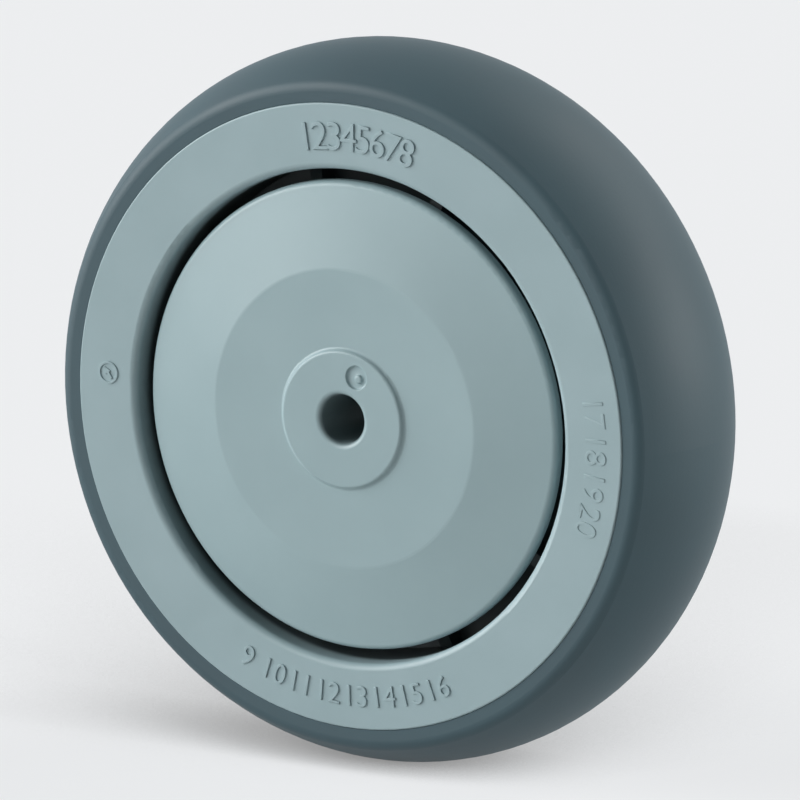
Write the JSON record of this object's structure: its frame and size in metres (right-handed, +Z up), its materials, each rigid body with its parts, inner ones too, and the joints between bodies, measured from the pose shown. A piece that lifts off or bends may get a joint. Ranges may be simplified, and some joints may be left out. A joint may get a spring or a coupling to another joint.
{
  "type": "trolley wheel",
  "caption": "Grey rubber-tyred trolley wheel with a moulded plastic centre, conical thread guards, sealed ball bearings and a through hole for the axle bolt.",
  "frame": {"origin": "centre of the wheel, on its axle line and midway between the hub's end faces", "axes": "+Y along the axle, away from the side that the picture shows; +Z up"},
  "size_m": [0.125, 0.036, 0.125],
  "materials": {
    "tyre_rubber": "matte moulded thermoplastic rubber",
    "wheel_plastic": "fine satin moulding",
    "guard_plastic": "fine satin moulding",
    "tube_steel": "zinc plated",
    "ring_steel": "ground",
    "ball_steel": "polished",
    "cage_steel": "pressed sheet",
    "shield_steel": "pressed sheet"
  },
  "bodies": {
    "axle_group": {"thread_guard_front": "guard_plastic", "thread_guard_rear": "guard_plastic", "spacer_tube": "tube_steel", "front_inner_ring": "ring_steel", "rear_inner_ring": "ring_steel"},
    "wheel": {"tyre": "tyre_rubber", "wheel_centre": "wheel_plastic", "front_outer_ring": "ring_steel", "front_shield_outboard": "shield_steel", "front_shield_inboard": "shield_steel", "rear_outer_ring": "ring_steel", "rear_shield_outboard": "shield_steel", "rear_shield_inboard": "shield_steel"},
    "front_ball_set": {"front_balls": "ball_steel", "front_cage_outboard": "cage_steel", "front_cage_inboard": "cage_steel", "front_cage_rivets": "cage_steel"},
    "rear_ball_set": {"rear_balls": "ball_steel", "rear_cage_outboard": "cage_steel", "rear_cage_inboard": "cage_steel", "rear_cage_rivets": "cage_steel"}
  },
  "joints": [
    {"name": "wheel_spin", "type": "hinge", "parent": "axle_group", "child": "wheel", "pos_m": [0, 0, 0], "axis": [0, 1, 0], "continuous": true},
    {"name": "front_ball_orbit", "type": "hinge", "parent": "axle_group", "child": "front_ball_set", "pos_m": [0, 0, 0], "axis": [0, 1, 0], "continuous": true},
    {"name": "rear_ball_orbit", "type": "hinge", "parent": "axle_group", "child": "rear_ball_set", "pos_m": [0, 0, 0], "axis": [0, 1, 0], "continuous": true}
  ],
  "couplings": [
    {"joint": "front_ball_orbit", "follows": "wheel_spin", "ratio": 0.61905},
    {"joint": "rear_ball_orbit", "follows": "wheel_spin", "ratio": 0.61905}
  ]
}
